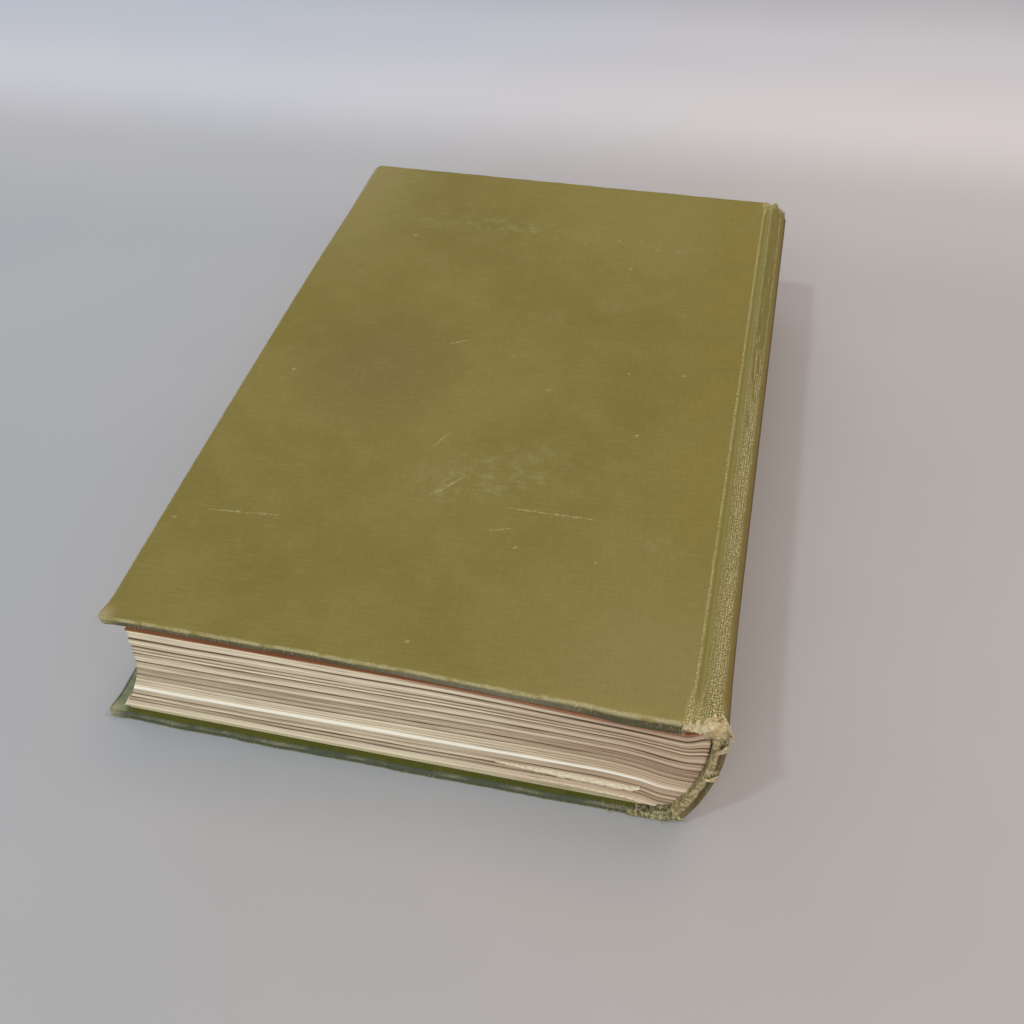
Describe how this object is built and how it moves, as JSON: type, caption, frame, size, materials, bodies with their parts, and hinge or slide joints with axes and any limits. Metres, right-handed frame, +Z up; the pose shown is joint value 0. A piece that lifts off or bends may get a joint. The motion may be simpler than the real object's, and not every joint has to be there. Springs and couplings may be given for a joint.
{
  "type": "hardback book",
  "caption": "Worn cloth-bound hardback book, closed, spine leaned over, with a rounded back, hollow fore edge and two covers that open.",
  "frame": {"origin": "centre of the bottom of the closed book's box, on the table", "axes": "+X from the fore edge to the spine, +Y along the spine from the near end to the far end, +Z up through the closed covers"},
  "size_m": [0.1496, 0.205, 0.0425],
  "materials": {
    "page_paper": "uncoated book paper, browned with age, edges in light and dark layers",
    "brown_endpaper": "smooth red-brown endpaper",
    "cream_endpaper": "plain cream endpaper",
    "mull": "open glued cotton",
    "lining_paper": "strong brown paper",
    "inlay_card": "thin grey-brown card",
    "spine_cloth": "book cloth, rubbed brown-olive, cream weave bare on the ridges and ends",
    "cover_cloth": "fine-woven matt olive book cloth with pale scuffs and bare edges",
    "under_cloth": "fine-woven matt green book cloth, less faded than the top",
    "board": "grey millboard"
  },
  "bodies": {
    "text_block": {"text_block": "page_paper", "top_flyleaf": "brown_endpaper", "bottom_flyleaf": "cream_endpaper", "spine_mull": "mull", "spine_lining": "lining_paper", "spine_inlay": "inlay_card", "spine_cloth": "spine_cloth"},
    "top_cover": {"top_board": "board", "top_cover_cloth": "cover_cloth", "top_mull_flange": "mull", "top_pastedown": "brown_endpaper"},
    "bottom_cover": {"bottom_board": "board", "bottom_cover_cloth": "under_cloth", "bottom_mull_flange": "mull", "bottom_pastedown": "cream_endpaper"}
  },
  "joints": [
    {"name": "top_cover_joint", "type": "hinge", "parent": "text_block", "child": "top_cover", "pos_m": [0.07024, 0, 0.0427], "axis": [0, 1, 0], "range_deg": [0, 175]},
    {"name": "bottom_cover_joint", "type": "hinge", "parent": "text_block", "child": "bottom_cover", "pos_m": [0.06124, 0, 0], "axis": [0, -1, 0], "range_deg": [0, 175]}
  ]
}
